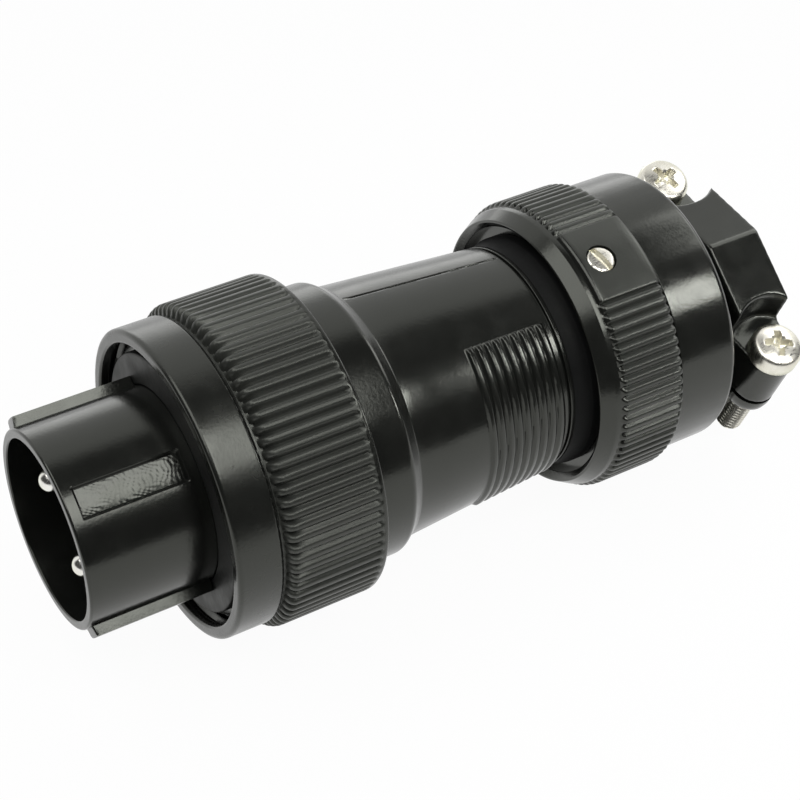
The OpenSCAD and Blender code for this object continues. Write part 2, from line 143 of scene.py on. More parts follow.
class PlugColours(bpy.types.PropertyGroup):
    """Colours of the plug's finishes."""

    resin: bpy.props.FloatVectorProperty(
        name="Resin", description="Black moulded resin", subtype="COLOR", size=3,
        default=(0.009, 0.0095, 0.0085), min=0.0, max=1.0)
    insulator: bpy.props.FloatVectorProperty(
        name="Insulator", description="Resin of the contact block", subtype="COLOR", size=3,
        default=(0.008, 0.008, 0.008), min=0.0, max=1.0)
    rubber: bpy.props.FloatVectorProperty(
        name="Rubber", description="Seals and gland", subtype="COLOR", size=3,
        default=(0.011, 0.0112, 0.0115), min=0.0, max=1.0)
    nickel: bpy.props.FloatVectorProperty(
        name="Nickel", description="Plating of the screws", subtype="COLOR", size=3,
        default=(0.86, 0.84, 0.76), min=0.0, max=1.0)
    silver: bpy.props.FloatVectorProperty(
        name="Silver", description="Plating of the contacts", subtype="COLOR", size=3,
        default=(0.88, 0.87, 0.83), min=0.0, max=1.0)
    zinc: bpy.props.FloatVectorProperty(
        name="Zinc", description="Plating of the inner washers", subtype="COLOR", size=3,
        default=(0.58, 0.59, 0.6), min=0.0, max=1.0)
    floor: bpy.props.FloatVectorProperty(
        name="Floor", description="Pale studio floor", subtype="COLOR", size=3,
        default=(0.9, 0.9, 0.9), min=0.0, max=1.0)


def ramp(value, low, high):
    """Smooth step of value: 0 at low, 1 at high, 3t^2 - 2t^3 between."""
    t = np.clip((value - low) / (high - low), 0.0, 1.0)
    return t * t * (3.0 - 2.0 * t)


def arch(t):
    """Quarter of an ellipse that rises from 0 at t = 0 to 1 at t = 1."""
    t = np.clip(t, 0.0, 1.0)
    return np.sqrt(1.0 - (1.0 - t) ** 2)


def soften(corners, steps=4):
    """Rounds the corners of a closed profile. Each corner is (radius, x, rounding, tag); a rounding
    becomes an arc that touches both sides, with one more point just before and after it so that the
    sides shade flat, and every point keeps its corner's tag."""
    corners = np.asarray(corners, dtype=float)
    out = []
    count = len(corners)
    for i in range(count):
        here = corners[i, :2]
        size = corners[i, 2]
        to_last = corners[i - 1, :2] - here
        to_next = corners[(i + 1) % count, :2] - here
        last_len = np.linalg.norm(to_last)
        next_len = np.linalg.norm(to_next)
        if size <= 0.0 or last_len == 0.0 or next_len == 0.0:
            out.append([here[0], here[1], corners[i, 3]])
            continue
        to_last /= last_len
        to_next /= next_len
        half = 0.5 * math.acos(max(-1.0, min(1.0, float(to_last @ to_next))))
        if half > 1.53:
            out.append([here[0], here[1], corners[i, 3]])
            continue
        reach = min(size / math.tan(half), 0.49 * last_len, 0.49 * next_len)
        radius = reach * math.tan(half)
        middle = to_last + to_next
        centre = here + middle / np.linalg.norm(middle) * radius / math.sin(half)
        start = here + to_last * reach - centre
        end = here + to_next * reach - centre
        sweep = math.pi - 2.0 * half
        part = np.linspace(0.0, 1.0, steps + 1)[:, None]
        arc = centre + (np.sin((1.0 - part) * sweep) * start + np.sin(part * sweep) * end) / math.sin(sweep)
        before = here + to_last * min(1.3 * reach, 0.495 * last_len)
        after = here + to_next * min(1.3 * reach, 0.495 * next_len)
        arc = np.concatenate([before[None, :], arc, after[None, :]])
        tags = np.full((steps + 3, 1), corners[i, 3])
        out.extend(np.hstack([arc, tags]).tolist())
    return np.array(out)


def angles(count, edges=(), width=0.5):
    """Angles around the axis in radians: an even spread plus a close group at each edge, in degrees."""
    even = np.arange(count) * 360.0 / count
    near = np.array([-2.0, -1.0, -0.5, 0.0, 0.5, 1.0, 2.0]) * width
    extra = (np.asarray(edges, dtype=float)[:, None] + near).ravel() if len(edges) else np.zeros(0)
    both = np.sort(np.concatenate([even, extra % 360.0]))
    keep = np.concatenate([[True], np.diff(both) > 0.02])
    return np.radians(both[keep])


def around(theta, middle):
    """Signed angle from a middle in degrees, wrapped to -180 to 180."""
    return (np.degrees(theta) - middle + 180.0) % 360.0 - 180.0


def quads(rows, columns, first=0, close_rows=True):
    """Faces of a grid whose columns close on themselves; its rows close too where asked."""
    r = np.arange(rows if close_rows else rows - 1)[:, None]
    c = np.arange(columns)[None, :]
    r2 = (r + 1) % rows
    c2 = (c + 1) % columns
    return first + np.stack([r * columns + c, r * columns + c2, r2 * columns + c2, r2 * columns + c],
                            axis=-1).reshape(-1, 4)


def turned(profile, theta, lift=0.0, close_rows=True):
    """Turned surface: x = profile x, y = r cos(theta), z = r sin(theta), r = profile r + lift."""
    r = profile[:, 0][:, None] + lift + np.zeros((1, len(theta)))
    x = np.broadcast_to(profile[:, 1][:, None], r.shape)
    points = np.stack([x, r * np.cos(theta), r * np.sin(theta)], axis=-1).reshape(-1, 3)
    return points, quads(len(profile), len(theta), close_rows=close_rows)


def spun(points, turn):
    """Turns points around their own Z axis."""
    spin = math.radians(turn)
    u = points[:, 0] * math.cos(spin) - points[:, 1] * math.sin(spin)
    v = points[:, 0] * math.sin(spin) + points[:, 1] * math.cos(spin)
    return np.stack([u, v, points[:, 2]], axis=-1)


def outward(points, faces):
    """Turns the faces of a closed surface outward: the sum of the triple products of its quads, its
    signed volume, is positive when they point out."""
    a, b, c, d = (points[faces[:, k]] for k in range(4))
    volume = np.einsum("ij,ij->", a, np.cross(b, c)) + np.einsum("ij,ij->", a, np.cross(c, d))
    return faces if volume > 0.0 else faces[:, ::-1]


def make_piece(name, parts, material, body, node, sharp=SHARP_ANGLE, weld=False):
    """Puts closed grids, each (points in mm, quads), into one mesh that stands for a CAD node."""
    all_points = []
    all_faces = []
    first = 0
    for points, faces in parts:
        all_points.append(points)
        all_faces.append(outward(points, faces) + first)
        first += len(points)
    points = np.concatenate(all_points) * MM
    faces = np.concatenate(all_faces)
    mesh = bpy.data.meshes.new(name)
    mesh.vertices.add(len(points))
    mesh.vertices.foreach_set("co", points.astype(np.float32).ravel())
    mesh.loops.add(faces.size)
    mesh.loops.foreach_set("vertex_index", faces.astype(np.int32).ravel())
    mesh.polygons.add(len(faces))
    mesh.polygons.foreach_set("loop_start", (np.arange(len(faces)) * 4).astype(np.int32))
    mesh.update(calc_edges=True)
    if mesh.validate():
        raise RuntimeError(name + " had faces that had to be repaired")
    if weld:
        merge_doubles(mesh)
    return dress(bpy.data.objects.new(name, mesh), material, body, node, sharp)


def merge_doubles(mesh, distance=2e-6):
    """Joins points that lie on each other and drops the faces that this folds up."""
    work = bmesh.new()
    work.from_mesh(mesh)
    bmesh.ops.remove_doubles(work, verts=work.verts, dist=distance)
    bmesh.ops.dissolve_degenerate(work, edges=work.edges, dist=distance * 0.1)
    work.to_mesh(mesh)
    work.free()
    mesh.update()


def dress(piece, material, body, node, sharp):
    """Links a piece, shades it, gives it its material, hangs it under its body and hides the CAD node that it
    stands for.
    """
    mesh = piece.data
    bpy.context.scene.collection.objects.link(piece)
    mesh.polygons.foreach_set("use_smooth", np.ones(len(mesh.polygons), dtype=bool))
    mesh.set_sharp_from_angle(angle=math.radians(sharp))
    mesh.materials.clear()
    mesh.materials.append(material)
    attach(piece, body)
    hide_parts(node)
    return piece


def rounded_copy(name, node, material, body, width):
    """Copy of a CAD solid with its flat faces made whole and its edges rounded by a live bevel."""
    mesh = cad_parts[node].data.copy()
    mesh.name = name
    work = bmesh.new()
    work.from_mesh(mesh)
    bmesh.ops.remove_doubles(work, verts=work.verts, dist=2e-6)
    bmesh.ops.dissolve_limit(work, angle_limit=math.radians(0.5), verts=work.verts, edges=work.edges)
    work.to_mesh(mesh)
    work.free()
    if mesh.has_custom_normals:
        mesh.attributes.remove(mesh.attributes["custom_normal"])
    piece = bpy.data.objects.new(name, mesh)
    dress(piece, material, body, node, SHARP_ANGLE)
    bevel = piece.modifiers.new("rounded edges", "BEVEL")
    bevel.width = width * MM
    bevel.segments = 3
    bevel.limit_method = "ANGLE"
    bevel.angle_limit = math.radians(40.0)
    bevel.miter_outer = "MITER_ARC"
    weighted = piece.modifiers.new("weighted normals", "WEIGHTED_NORMAL")
    weighted.mode = "FACE_AREA"
    weighted.weight = 90
    weighted.keep_sharp = True
    return piece


def worn_copy(name, node, material, body, cell, passes):
    """Copy of a CAD solid whose edges are melted round: a fine even mesh, then smoothing passes."""
    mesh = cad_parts[node].data.copy()
    mesh.name = name
    merge_doubles(mesh)
    if mesh.has_custom_normals:
        mesh.attributes.remove(mesh.attributes["custom_normal"])
    piece = bpy.data.objects.new(name, mesh)
    dress(piece, material, body, node, 180.0)
    even = piece.modifiers.new("even mesh", "REMESH")
    even.mode = "VOXEL"
    even.voxel_size = cell * MM
    even.use_smooth_shade = True
    smooth = piece.modifiers.new("melted edges", "SMOOTH")
    smooth.factor = 0.5
    smooth.iterations = passes
    return piece


def new_group(name, inputs, outputs):
    """Empty shader node group with named sockets, each (name, kind, default)."""
    group = bpy.data.node_groups.new(name, "ShaderNodeTree")
    for label, kind, value in inputs:
        socket = group.interface.new_socket(label, in_out="INPUT", socket_type=kind)
        if value is not None:
            socket.default_value = value
    for label, kind in outputs:
        group.interface.new_socket(label, in_out="OUTPUT", socket_type=kind)
    return group, group.nodes.new("NodeGroupInput"), group.nodes.new("NodeGroupOutput")


def noise(nodes, links, vector, scale, detail):
    """Noise texture on a vector output."""
    node = nodes.new("ShaderNodeTexNoise")
    node.inputs["Scale"].default_value = scale
    node.inputs["Detail"].default_value = detail
    links.new(vector, node.inputs["Vector"])
    return node


def spread(nodes, links, value, low, high):
    """Maps a 0.3 to 0.7 noise value onto low to high; low and high are outputs or numbers."""
    node = nodes.new("ShaderNodeMapRange")
    node.inputs["From Min"].default_value = 0.3
    node.inputs["From Max"].default_value = 0.7
    links.new(value, node.inputs["Value"])
    for label, bound in (("To Min", low), ("To Max", high)):
        if hasattr(bound, "is_output"):
            links.new(bound, node.inputs[label])
        else:
            node.inputs[label].default_value = bound
    return node.outputs["Result"]


def calculate(nodes, links, operation, first, second):
    """Math node of two values; each is an output or a number."""
    node = nodes.new("ShaderNodeMath")
    node.operation = operation
    for socket, value in zip(node.inputs, (first, second)):
        if hasattr(value, "is_output"):
            links.new(value, socket)
        else:
            socket.default_value = value
    return node.outputs[0]


def moulded_skin():
    """Group for moulded faces: fine grain and shallow flow waves in the normal, patches in the gloss,
    and a slight mottling of the colour. Between two places along X, the fluted band, the skin is duller
    and paler."""
    group, entry, leave = new_group(
        "moulded skin",
        [("Colour", "NodeSocketColor", (0.5, 0.5, 0.5, 1.0)), ("Smooth", "NodeSocketFloat", 0.2),
         ("Rough", "NodeSocketFloat", 0.4), ("Grain", "NodeSocketFloat", 0.1),
         ("Grain scale", "NodeSocketFloat", 2600.0), ("Band start", "NodeSocketFloat", NO_BAND),
         ("Band end", "NodeSocketFloat", NO_BAND)],
        [("Colour", "NodeSocketColor"), ("Roughness", "NodeSocketFloat"), ("Normal", "NodeSocketVector")])
    nodes = group.nodes
    links = group.links
    place = nodes.new("ShaderNodeTexCoord").outputs["Object"]
    patches = noise(nodes, links, place, 420.0, 4.0)
    axis = nodes.new("ShaderNodeSeparateXYZ")
    links.new(place, axis.inputs[0])
    past = calculate(nodes, links, "GREATER_THAN", axis.outputs["X"], entry.outputs["Band start"])
    before = calculate(nodes, links, "LESS_THAN", axis.outputs["X"], entry.outputs["Band end"])
    band = calculate(nodes, links, "MULTIPLY", past, before)
    gloss = spread(nodes, links, patches.outputs["Fac"], entry.outputs["Smooth"], entry.outputs["Rough"])
    duller = calculate(nodes, links, "MULTIPLY", band, BAND_DULL)
    links.new(calculate(nodes, links, "ADD", gloss, duller), leave.inputs["Roughness"])
    grain = noise(nodes, links, place, 2600.0, 2.0)
    links.new(entry.outputs["Grain scale"], grain.inputs["Scale"])
    waves = noise(nodes, links, place, 260.0, 2.0)
    fine = nodes.new("ShaderNodeBump")
    fine.inputs["Distance"].default_value = 0.00006
    links.new(entry.outputs["Grain"], fine.inputs["Strength"])
    links.new(grain.outputs["Fac"], fine.inputs["Height"])
    broad = nodes.new("ShaderNodeBump")
    broad.inputs["Distance"].default_value = 0.0003
    broad.inputs["Strength"].default_value = 0.02
    links.new(waves.outputs["Fac"], broad.inputs["Height"])
    links.new(fine.outputs["Normal"], broad.inputs["Normal"])
    links.new(broad.outputs["Normal"], leave.inputs["Normal"])
    tone = nodes.new("ShaderNodeMix")
    tone.data_type = "RGBA"
    tone.blend_type = "MULTIPLY"
    tone.inputs["Factor"].default_value = 1.0
    shade = spread(nodes, links, patches.outputs["Fac"], 0.9, 1.08)
    paler = calculate(nodes, links, "MULTIPLY", band, BAND_PALE)
    links.new(entry.outputs["Colour"], tone.inputs["A"])
    links.new(calculate(nodes, links, "ADD", shade, paler), tone.inputs["B"])
    links.new(tone.outputs["Result"], leave.inputs["Colour"])
    return group


def plated_skin():
    """Group for plated metal: small pits in the normal, hairline scratches in the gloss, and dull
    patches that darken the plating."""
    group, entry, leave = new_group(
        "plated skin",
        [("Colour", "NodeSocketColor", (0.7, 0.7, 0.7, 1.0)),
         ("Dull colour", "NodeSocketColor", (0.4, 0.38, 0.3, 1.0)),
         ("Smooth", "NodeSocketFloat", 0.1), ("Rough", "NodeSocketFloat", 0.3)],
        [("Colour", "NodeSocketColor"), ("Roughness", "NodeSocketFloat"), ("Normal", "NodeSocketVector")])
    nodes = group.nodes
    links = group.links
    place = nodes.new("ShaderNodeTexCoord").outputs["Object"]
    stretch = nodes.new("ShaderNodeMapping")
    stretch.inputs["Scale"].default_value = (1.0, 5.0, 0.7)
    stretch.inputs["Rotation"].default_value = (0.4, 0.3, 0.7)
    links.new(place, stretch.inputs["Vector"])
    scratches = noise(nodes, links, stretch.outputs["Vector"], 1800.0, 4.0)
    links.new(spread(nodes, links, scratches.outputs["Fac"], entry.outputs["Smooth"], entry.outputs["Rough"]),
              leave.inputs["Roughness"])
    patches = noise(nodes, links, place, 700.0, 3.0)
    mixed = nodes.new("ShaderNodeMix")
    mixed.data_type = "RGBA"
    links.new(spread(nodes, links, patches.outputs["Fac"], 0.0, 0.45), mixed.inputs["Factor"])
    links.new(entry.outputs["Colour"], mixed.inputs["A"])
    links.new(entry.outputs["Dull colour"], mixed.inputs["B"])
    links.new(mixed.outputs["Result"], leave.inputs["Colour"])
    pits = noise(nodes, links, place, 3200.0, 2.0)
    bump = nodes.new("ShaderNodeBump")
    bump.inputs["Distance"].default_value = 0.00005
    bump.inputs["Strength"].default_value = 0.12
    links.new(pits.outputs["Fac"], bump.inputs["Height"])
    links.new(bump.outputs["Normal"], leave.inputs["Normal"])
    return group


def finish_material(name, group, values, metallic=0.0, specular=0.5):
    """Material with one skin group feeding a Principled BSDF."""
    material = bpy.data.materials.get(name)
    if material:
        return material
    material = bpy.data.materials.new(name)
    material.use_nodes = True
    nodes = material.node_tree.nodes
    links = material.node_tree.links
    shader = nodes["Principled BSDF"]
    skin = nodes.new("ShaderNodeGroup")
    skin.node_tree = bpy.data.node_groups.get(group) or SKINS[group]()
    for label, value in values.items():
        skin.inputs[label].default_value = (*value, 1.0) if hasattr(value, "__len__") else value
    links.new(skin.outputs["Colour"], shader.inputs["Base Color"])
    links.new(skin.outputs["Roughness"], shader.inputs["Roughness"])
    links.new(skin.outputs["Normal"], shader.inputs["Normal"])
    shader.inputs["Metallic"].default_value = metallic
    shader.inputs["Specular IOR Level"].default_value = specular
    shader.inputs["Specular Tint"].default_value = (0.97, 1.0, 0.9, 1.0)
    return material


SKINS = {"moulded skin": moulded_skin, "plated skin": plated_skin}


def colour(name):
    """A finish's colour from the scene's settings, as three numbers."""
    return tuple(getattr(bpy.context.scene.plug_colours, name))


def resin(name="black resin", start=NO_BAND, end=NO_BAND, smooth=0.16, rough=0.23):
    """Satin black resin of the nuts, shell and barrel, duller on a fluted band from start to end."""
    return finish_material(name, "moulded skin",
                           {"Colour": colour("resin"), "Smooth": smooth, "Rough": rough, "Grain": 0.14,
                            "Grain scale": 3300.0, "Band start": start, "Band end": end}, specular=0.62)


def insulator_resin():
    """Matte resin of the contact block."""
    return finish_material("insulator resin", "moulded skin",
                           {"Colour": colour("insulator"), "Smooth": 0.5, "Rough": 0.65, "Grain": 0.2})


def rubber(name="seal rubber", specular=0.4):
    """Matte rubber of the seals."""
    return finish_material(name, "moulded skin",
                           {"Colour": colour("rubber"), "Smooth": 0.45, "Rough": 0.62, "Grain": 0.3},
                           specular=specular)


def nickel():
    """Bright nickel plate of the screws."""
    return finish_material("nickel plate", "plated skin",
                           {"Colour": colour("nickel"), "Dull colour": (0.66, 0.62, 0.52),
                            "Smooth": 0.24, "Rough": 0.38}, metallic=1.0)


def silver():
    """Silver plate of the contacts."""
    return finish_material("silver plate", "plated skin",
                           {"Colour": colour("silver"), "Dull colour": (0.7, 0.68, 0.6),
                            "Smooth": 0.14, "Rough": 0.3}, metallic=1.0)


def zinc():
    """Zinc plate of the inner washers and ring."""
    return finish_material("zinc plate", "plated skin",
                           {"Colour": colour("zinc"), "Dull colour": (0.38, 0.38, 0.4),
                            "Smooth": 0.25, "Rough": 0.45}, metallic=1.0)


def flute(theta, count):
    """Depth of even flutes around a band, 1 in the middle of a flute and 0 on its ridges: a raised
    cosine of the angle to the power 2.4, which leaves broad ridges between narrow flutes."""
    return (0.5 + 0.5 * np.cos(np.asarray(theta) * count)) ** 2.4


def flute_columns(count):
    """Angles around the axis in radians, ten to a flute."""
    return np.arange(count * 10) * 2.0 * math.pi / (count * 10)


def shell_surface(sizes):
    """Turned shell with two raised keys and one recess: the lift is the key height, or minus the recess
    depth, times a step across each edge in x and in angle, smooth but for the keys' straight drafted
    walls. The recess floor follows the shroud with a slight tilt and a fine unevenness, a sum of two
    sines whose phase is bent by others."""
    r = sizes.shroud_r / MM
    key_height = 1.05
    key_draft = 0.4
    recess_depth = 0.5
    recess_tilt = 0.07
    rows = np.concatenate([[0.5, 0.58, 0.66, 0.76], np.linspace(1.14, 1.56, 8),
                           np.arange(1.64, 11.7, 0.1), np.linspace(11.74, 12.16, 8),
                           [12.4, 12.9, 13.08, 13.16, 13.24]])
    corners = [(9.3, 0.0, 0.16, 0), (r, 0.0, 0.3, 1)]
    corners += [(r, x, 0.0, 1) for x in rows]
    corners += [(r, 14.2, 0.1, 0), (14.2, 14.2, 0.25, 0), (14.2, 16.2, 0.15, 0), (11.9, 16.2, 0.0, 0),
                (11.9, 28.55, 0.0, 0), (11.15, 28.55, 0.0, 0), (11.15, 29.25, 0.0, 0), (10.3, 29.25, 0.0, 0),
                (10.3, 30.45, 0.0, 0), (11.15, 30.45, 0.0, 0), (11.15, 35.05, 0.3, 0), (9.95, 35.05, 0.0, 0),
                (9.95, 14.6, 0.0, 0), (9.3, 14.6, 0.0, 0), (9.3, 7.0, 0.0, 0)]
    profile = soften(corners, 5)
    key = math.degrees(1.1 / r)
    dip = math.degrees(1.55 / r)
    walls = [(middle, key) for middle in KEY_ANGLES] + [(RECESS_ANGLE, dip)]
    edges = [middle + half for middle, width in walls for half in (-width, width)]
    floor_columns = RECESS_ANGLE + np.arange(-7.4, 7.5, 1.6)
    theta = angles(240, np.concatenate([edges, floor_columns]), key_draft)
    x = profile[:, 1][:, None]
    outer = (profile[:, 2] == 1)[:, None]
    along_key = ramp(x, 0.52, 0.72) * (1.0 - ramp(x, 13.1, 13.22))
    across_key = np.zeros_like(theta)
    for middle in KEY_ANGLES:
        past_wall = key + key_draft - np.abs(around(theta, middle))
        across_key += np.clip(past_wall / (2.0 * key_draft), 0.0, 1.0)
    along_dip = ramp(x, 1.2, 1.5) * (1.0 - ramp(x, 11.8, 12.1))
    side = around(theta, RECESS_ANGLE)
    across_dip = 1.0 - ramp(np.abs(side), dip - 0.8, dip + 0.8)
    run = np.radians(side) * r
    floor_lift = -recess_depth - recess_tilt * np.clip(run, -2.0, 2.0)
    bend = 1.6 * np.sin(2.3 * x - 1.7 * run) + 1.3 * np.sin(3.7 * run + 1.1 * x)
    waves = np.sin(13.0 * x + 4.0 * run + bend) + np.sin(9.0 * x - 10.0 * run - 1.5 * bend)
    uneven = 0.0042 * waves
    keys = key_height * along_key * across_key
    recess = (floor_lift + uneven) * along_dip * across_dip
    return turned(profile, theta, outer * (keys + recess))


def coupling_nut_surface(sizes):
    """Turned nut. Outside, a shallow groove parts the collar from the fluted band, whose lift over the
    groove is (ridge height - flute depth) times a quarter ellipse in x that begins later inside a flute,
    so each ridge ends in a rounded nose; the flutes are deeper at the noses and fade before the rear
    rim. Inside, the mouth's lift is a thread: a raised cosine of x / pitch - angle / turn."""
    front = 12.5
    rear = 28.25
    collar = 16.17
    groove = 15.85
    mouth = 14.76
    neck = 12.0
    shoulder = 23.9
    ridge = sizes.nut_r / MM - groove
    noses = np.concatenate([17.5 + np.arange(15) * 0.1, [19.2, 19.5, 20.0, 24.0],
                            [27.0, 27.3, 27.5, 27.7, 27.85]])
    rims = ((2, 28.0, 1.0), (3, 28.12, 0.93), (4, 28.2, 0.78), (5, rear, 0.55))
    corners = [(mouth, front, 0.25, 0), (collar, front, 0.45, 0), (collar, 14.5, 0.0, 0),
               (collar, 17.1, 0.3, 0), (groove, 17.3, 0.15, 0)]
    corners += [(groove, x, 0.0, 1) for x in noses]
    corners += [(groove, x, 0.0, rim) for rim, x, share in rims]
    corners += [(neck, rear, 0.15, 0), (neck, shoulder, 0.0, 0), (mouth, shoulder, 0.0, 0)]
    corners += [(mouth, x, 0.0, 6) for x in np.arange(21.6, 13.2, -0.23)]
    profile = soften(corners, 4)
    theta = flute_columns(sizes.nut_flutes)
    x = profile[:, 1][:, None]
    tag = profile[:, 2][:, None]
    deep = flute(theta, sizes.nut_flutes)
    fade = 1.0 - ramp(x, 27.35, 27.8)
    open_end = 1.0 + 0.8 * (1.0 - ramp(x, 17.8, 19.8))
    height = ridge - sizes.flute_depth / MM * deep * fade * open_end
    lift = np.where(tag == 1, height * arch((x - 17.62 - 0.35 * deep) / 0.9), 0.0)
    for rim, place, share in rims:
        lift = np.where(tag == rim, ridge - 0.3 * (1.0 - share), lift)
    pitch = 1.5
    thread_depth = 0.5
    turn = x / pitch - theta / (2.0 * math.pi)
    ends = ramp(x, 13.2, 14.0) * (1.0 - ramp(x, 21.0, 21.6))
    thread = thread_depth * (0.5 - 0.5 * np.cos(2.0 * math.pi * turn)) * ends
    lift = np.where(tag == 6, thread, lift)
    return turned(profile, theta, lift)


def barrel_radius(x):
    """Radius of the tapered barrel at x."""
    return TAPER_R[0] + (TAPER_R[1] - TAPER_R[0]) * (x - TAPER_X[0]) / (TAPER_X[1] - TAPER_X[0])


def barrel_surface(sizes):
    """Turned barrel with an interrupted thread and a parting line. The thread's lift is broad ridges
    with narrow grooves, a flattened cosine of the turn x / pitch - angle / 360 over nine whole turns,
    times a quarter ellipse at each end of its two sweeps, so every ridge starts in a rounded nose."""
    pitch = sizes.thread_pitch / MM
    height = sizes.thread_height / MM
    seam_depth = 0.3
    start = 42.3
    count = 9
    rows = np.arange(start - 0.4, 52.24, 0.096)
    corners = [(11.2, 28.55, 0.0, 0), (14.7, 28.55, 0.3, 0), (14.7, 32.6, 0.9, 0), (13.75, 33.9, 0.5, 0)]
    corners += [(barrel_radius(x), x, 0.0, 1) for x in (34.9, 37.0, 39.5)]
    corners += [(barrel_radius(x), x, 0.0, 1) for x in rows]
    corners += [(barrel_radius(52.3), 52.3, 0.08, 0), (11.9, 52.36, 0.0, 0), (11.9, 52.62, 0.0, 0),
                (barrel_radius(52.7), 52.68, 0.1, 0), (TAPER_R[1], TAPER_X[1], 0.15, 0),
                (11.6, TAPER_X[1], 0.0, 0),
                (11.6, 61.2, 0.2, 0), (9.8, 61.2, 0.0, 0), (9.8, 55.0, 0.0, 0), (8.6, 55.0, 0.0, 0),
                (8.6, 53.0, 0.0, 0), (10.4, 51.2, 0.0, 0), (10.4, 35.15, 0.0, 0), (11.2, 35.15, 0.0, 0)]
    profile = soften(corners, 6)
    ends = [middle + half for middle in THREAD_ANGLES for half in (-THREAD_HALF_SWEEP, THREAD_HALF_SWEEP)]
    theta = angles(440, [*SEAM_ANGLES, *ends], 0.4)
    x = profile[:, 1][:, None]
    outer = (profile[:, 2] == 1)[:, None]
    lift = 0.0
    for middle in THREAD_ANGLES:
        side = around(theta, middle)
        turn = (x - start) / pitch - side / 360.0
        wave = 0.5 - 0.5 * np.cos(2.0 * math.pi * np.clip(turn, 0.0, count))
        nose = arch((THREAD_HALF_SWEEP - np.abs(side)) / 3.4)
        lift = lift + height * np.sin(0.5 * math.pi * np.clip(1.3 * wave, 0.0, 1.0)) * nose
    seam = np.minimum(*(np.abs(around(theta, angle)) for angle in SEAM_ANGLES))
    uneven = 0.75 + 0.25 * np.sin(1.7 * x) * np.sin(0.9 * x + 1.0)
    line = -seam_depth * uneven * (1.0 - ramp(seam, 0.15, 0.6)) * (1.0 - ramp(x, 51.7, 52.1))
    return turned(profile, theta, outer * (lift + line))


def rear_nut_surface(sizes):
    """Turned rear nut: sloping front shoulder, then a fluted band made as on the coupling nut, without
    flutes on the land around the lock screw."""
    base = 15.5
    rear = 64.1
    ridge = sizes.rear_r / MM - base
    noses = np.concatenate([56.6 + np.arange(13) * 0.1, [59.0, 61.0, 63.0, 63.7]])
    corners = [(13.75, 55.25, 0.1, 0), (14.4, 54.6, 0.1, 0), (14.6, 54.6, 0.15, 0), (15.4, 56.05, 0.4, 0),
               (base, 56.45, 0.0, 0)]
    corners += [(base, x, 0.0, 1) for x in noses]
    corners += [(base, 63.95, 0.0, 2), (base - 0.12, rear, 0.0, 2), (13.0, rear, 0.1, 0),
                (13.0, 61.4, 0.0, 0), (11.65, 61.4, 0.0, 0), (11.65, 56.2, 0.0, 0), (13.75, 56.2, 0.0, 0)]
    profile = soften(corners, 4)
    theta = flute_columns(sizes.rear_flutes)
    x = profile[:, 1][:, None]
    tag = profile[:, 2][:, None]
    land = ramp(np.abs(around(theta, LOCK_ANGLE)), 15.0, 16.5)
    deep = flute(theta, sizes.rear_flutes) * land
    height = ridge - sizes.flute_depth / MM * deep
    lift = np.where(tag == 1, height * arch((x - 56.65) / 0.7), 0.0)
    lift = np.where(tag == 2, height - 0.05, lift)
    return turned(profile, theta, lift)


def spot_grid(radius, marks_a, marks_b):
    """Grid over a disc: the square [-1, 1] x [-1, 1] drawn onto the circle by a sqrt(1 - b^2 / 2) and
    b sqrt(1 - a^2 / 2), with grid lines at the marks."""
    lines_a = np.unique(np.concatenate([np.linspace(-1.0, 1.0, 25), marks_a]))
    lines_b = np.unique(np.concatenate([np.linspace(-1.0, 1.0, 25), marks_b]))
    a, b = np.meshgrid(lines_a, lines_b, indexing="ij")
    return radius * a * np.sqrt(1.0 - 0.5 * b * b), radius * b * np.sqrt(1.0 - 0.5 * a * a), a, b


def edge_loop(shape):
    """Indices of a grid's border, once around."""
    rows, columns = shape
    index = np.arange(rows * columns).reshape(shape)
    return np.concatenate([index[:-1, 0], index[-1, :-1], index[:0:-1, -1], index[0, :0:-1]])


def post(top, shape, lower):
    """Closed post under a top grid of points: each lower row is (radius, height) or a function of the
    angle, carried around the border's own angles, and the last row is drawn to a point."""
    loop = edge_loop(shape)
    border = top[loop]
    angle = np.arctan2(border[:, 1], border[:, 0])
    rows, columns = shape
    index = np.arange(rows * columns).reshape(shape)
    cap = np.stack([index[:-1, :-1], index[1:, :-1], index[1:, 1:], index[:-1, 1:]], axis=-1).reshape(-1, 4)
    rings = [border]
    for r, z in lower:
        r_all = np.broadcast_to(r(angle) if callable(r) else r, angle.shape)
        z_all = np.full_like(angle, z)
        rings.append(np.stack([r_all * np.cos(angle), r_all * np.sin(angle), z_all], axis=-1))
    count = len(loop)
    wall = quads(len(rings), count, first=rows * columns, close_rows=False)
    points = np.concatenate([top] + rings)
    if signed_area(top[cap]) < 0.0:
        cap = cap[:, ::-1]
    if wall_faces_in(points, wall):
        wall = wall[:, ::-1]
    return points, np.concatenate([cap, wall])


def signed_area(corner_points):
    """Area of quads seen from above, positive when they run anticlockwise."""
    p = corner_points[:, :, :2]
    q = np.roll(p, -1, axis=1)
    return float((p[..., 0] * q[..., 1] - p[..., 1] * q[..., 0]).sum())


def wall_faces_in(points, wall):
    """True where a post's wall points toward its axis: mean of normal times outward direction."""
    a, b, c, d = (points[wall[:, k]] for k in range(4))
    normal = np.cross(c - a, d - b)
    middle = (a + b + c + d) / 4.0
    return float((normal[:, :2] * middle[:, :2]).sum()) < 0.0


def clamp_place(points, along):
    """Takes points of a clamp screw's own frame to the plug: its axis is tilted around X with the clamp,
    and along is its place on the clamp bar."""
    tilt = math.radians(CLAMP_TILT)
    bar = along + points[:, 1]
    up = points[:, 2]
    return np.stack([CLAMP_X + points[:, 0], bar * math.cos(tilt) - up * math.sin(tilt),
                     bar * math.sin(tilt) + up * math.cos(tilt)], axis=-1)


